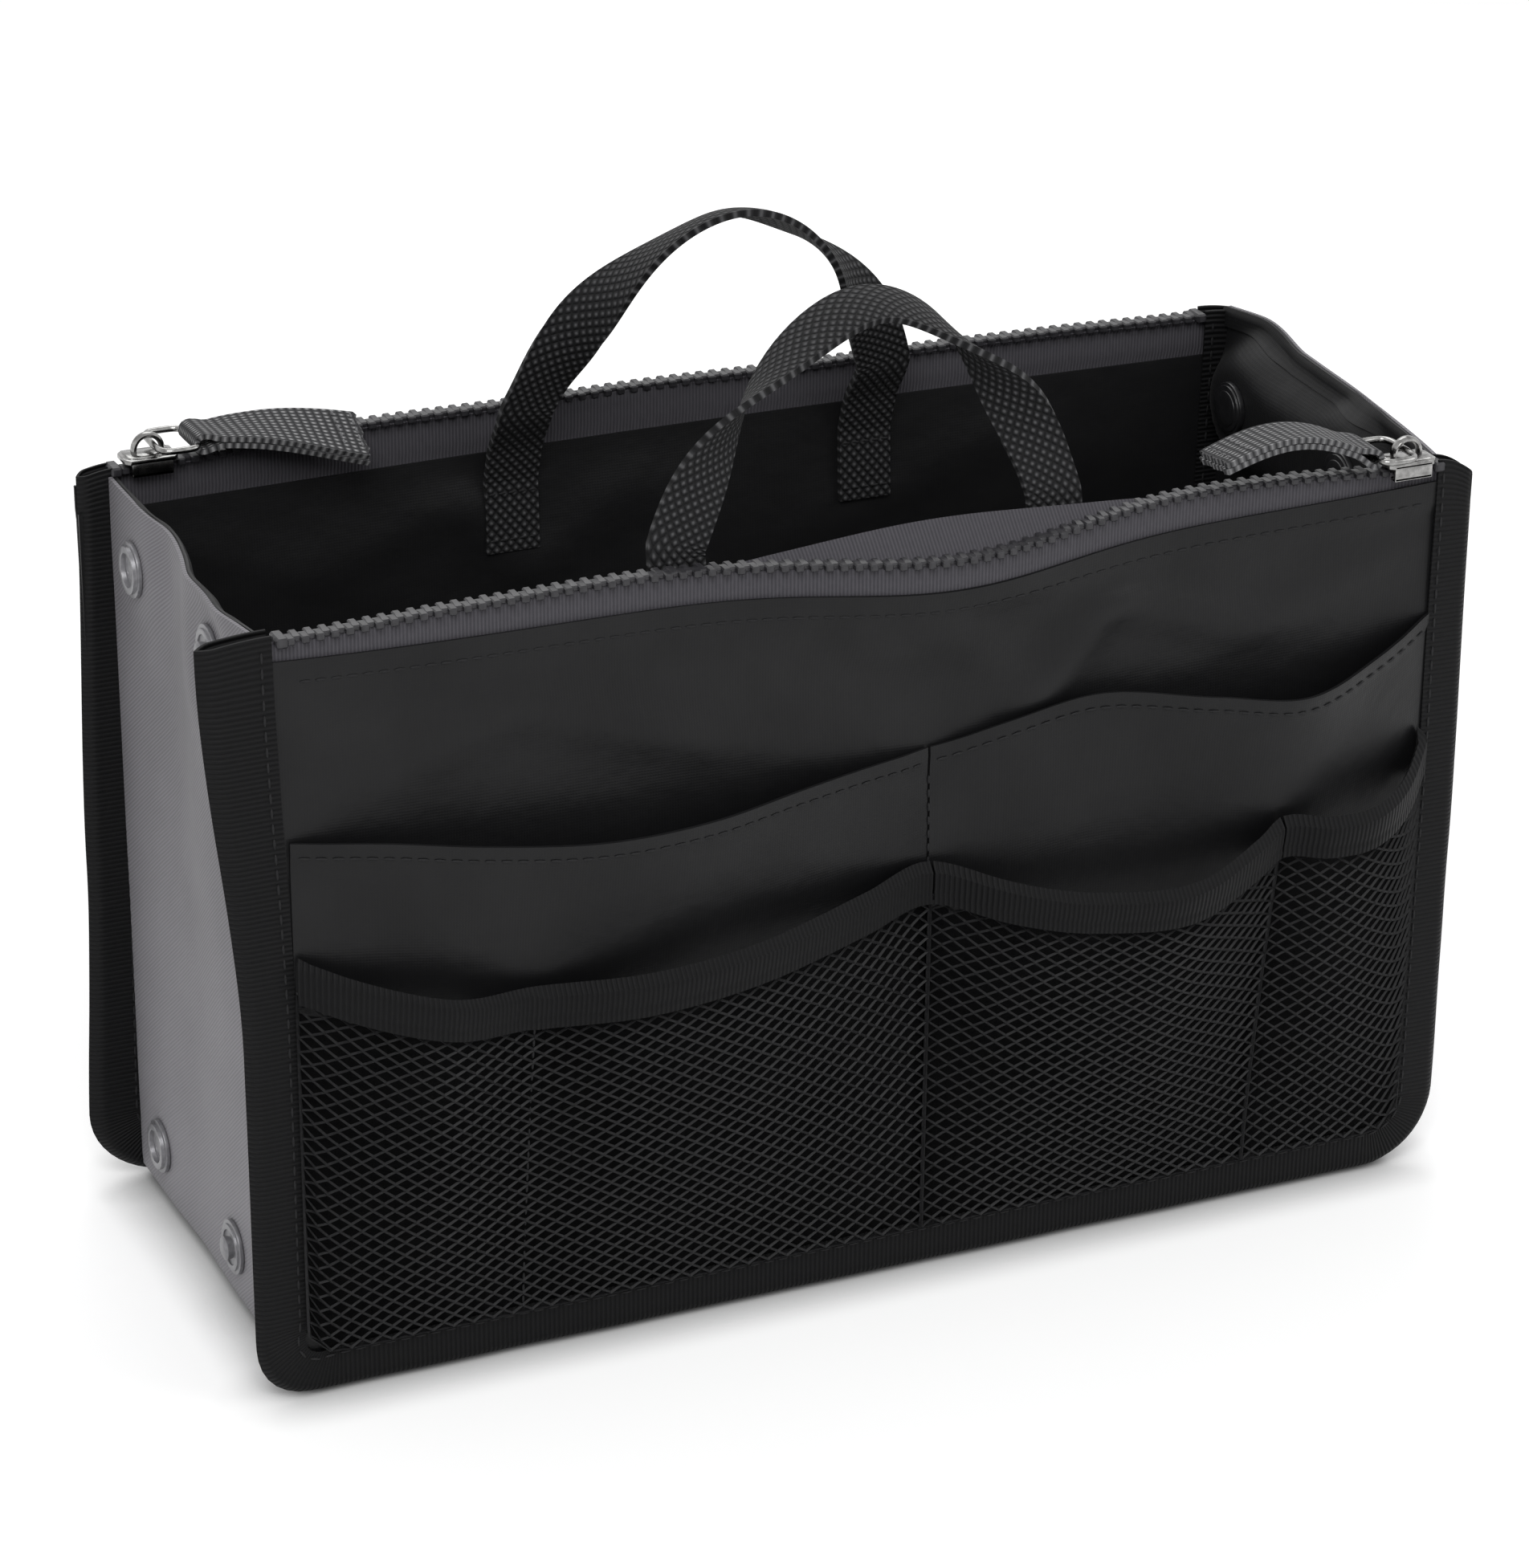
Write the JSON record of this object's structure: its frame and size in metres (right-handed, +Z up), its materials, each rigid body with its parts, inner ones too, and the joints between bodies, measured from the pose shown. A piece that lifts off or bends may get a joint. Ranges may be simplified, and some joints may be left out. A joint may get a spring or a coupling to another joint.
{
  "type": "purse organizer insert",
  "caption": "Soft handbag insert: zipped front and rear panels joined by a snap-folding side strip, with carry handles, slip pockets and net pockets.",
  "frame": {"origin": "middle of the floor strip's underside, on the surface that the insert stands on", "axes": "+X along the width, -Y to the front with the net pockets, +Z up"},
  "size_m": [0.29, 0.1463, 0.2227],
  "materials": {
    "black_nylon": "plain woven nylon with a slight sheen",
    "black_lining": "smooth nylon lining",
    "black_binding": "ribbed grosgrain tape",
    "black_net": "knitted diamond net",
    "grey_strip": "fine diagonal twill nylon",
    "zip_tape": "woven polyester tape",
    "zip_teeth": "coiled nylon teeth",
    "handle_webbing": "woven webbing",
    "pull_webbing": "woven webbing",
    "nickel": "bright nickel plate",
    "snap_grey": "pale grey painted metal",
    "snap_black": "satin black painted metal"
  },
  "bodies": {
    "rear_side": {"rear_outer_wall": "black_nylon", "rear_inner_wall": "black_lining", "rear_binding": "black_binding", "rear_zip_tape_outer": "zip_tape", "rear_zip_tape_inner": "zip_tape", "rear_zip_chain": "zip_teeth", "rear_handle_tab_left": "handle_webbing", "rear_handle_tab_right": "handle_webbing", "rear_pocket_left": "black_nylon", "rear_pocket_right": "black_nylon", "gusset_shell": "grey_strip", "gusset_lining": "black_lining", "socket_left_top": "snap_grey", "socket_left_bottom": "snap_grey", "socket_right_top": "snap_grey", "socket_right_bottom": "snap_grey", "socket_cap_left_top": "snap_black", "socket_cap_left_bottom": "snap_black", "socket_cap_right_top": "snap_black", "socket_cap_right_bottom": "snap_black"},
    "front_side": {"front_outer_wall": "black_nylon", "front_inner_wall": "black_lining", "front_binding": "black_binding", "front_zip_tape_outer": "zip_tape", "front_zip_tape_inner": "zip_tape", "front_zip_chain": "zip_teeth", "front_handle_tab_left": "handle_webbing", "front_handle_tab_right": "handle_webbing", "front_pocket_left": "black_nylon", "front_pocket_right": "black_nylon", "net_pocket_left": "black_net", "net_binding_left": "black_binding", "net_pocket_middle": "black_net", "net_binding_middle": "black_binding", "net_pocket_right": "black_net", "net_binding_right": "black_binding", "stud_left_top": "snap_grey", "stud_left_bottom": "snap_grey", "stud_right_top": "snap_grey", "stud_right_bottom": "snap_grey", "stud_cap_left_top": "snap_black", "stud_cap_left_bottom": "snap_black", "stud_cap_right_top": "snap_black", "stud_cap_right_bottom": "snap_black"},
    "front_zip_slider": {"front_slider": "nickel"},
    "front_zip_pull": {"front_pull_ring": "nickel", "front_pull_strap": "pull_webbing"},
    "front_carry_handle": {"front_handle": "handle_webbing"},
    "rear_zip_slider": {"rear_slider": "nickel"},
    "rear_zip_pull": {"rear_pull_ring": "nickel", "rear_pull_strap": "pull_webbing"},
    "rear_carry_handle": {"rear_handle": "handle_webbing"}
  },
  "joints": [
    {"name": "width_fold", "type": "slide", "parent": "rear_side", "child": "front_side", "axis": [0, 1, 0], "range_m": [0, 0.038], "deforming": ["gusset_shell", "gusset_lining"]},
    {"name": "front_zip_travel", "type": "slide", "parent": "front_side", "child": "front_zip_slider", "axis": [-1, 0, 0], "range_m": [0, 0.25]},
    {"name": "front_pull_swing", "type": "hinge", "parent": "front_zip_slider", "child": "front_zip_pull", "pos_m": [0.125, -0.054, 0.1774], "axis": [0, 1, 0], "range_deg": [0, 150]},
    {"name": "front_handle_fold", "type": "hinge", "parent": "front_side", "child": "front_carry_handle", "pos_m": [0, -0.04498, 0.176], "axis": [1, 0, 0], "range_deg": [-32, 100]},
    {"name": "rear_zip_travel", "type": "slide", "parent": "rear_side", "child": "rear_zip_slider", "axis": [1, 0, 0], "range_m": [0, 0.25]},
    {"name": "rear_pull_swing", "type": "hinge", "parent": "rear_zip_slider", "child": "rear_zip_pull", "pos_m": [-0.125, 0.054, 0.1774], "axis": [0, -1, 0], "range_deg": [0, 150]},
    {"name": "rear_handle_fold", "type": "hinge", "parent": "rear_side", "child": "rear_carry_handle", "pos_m": [0, 0.04498, 0.176], "axis": [-1, 0, 0], "range_deg": [-32, 100]}
  ]
}
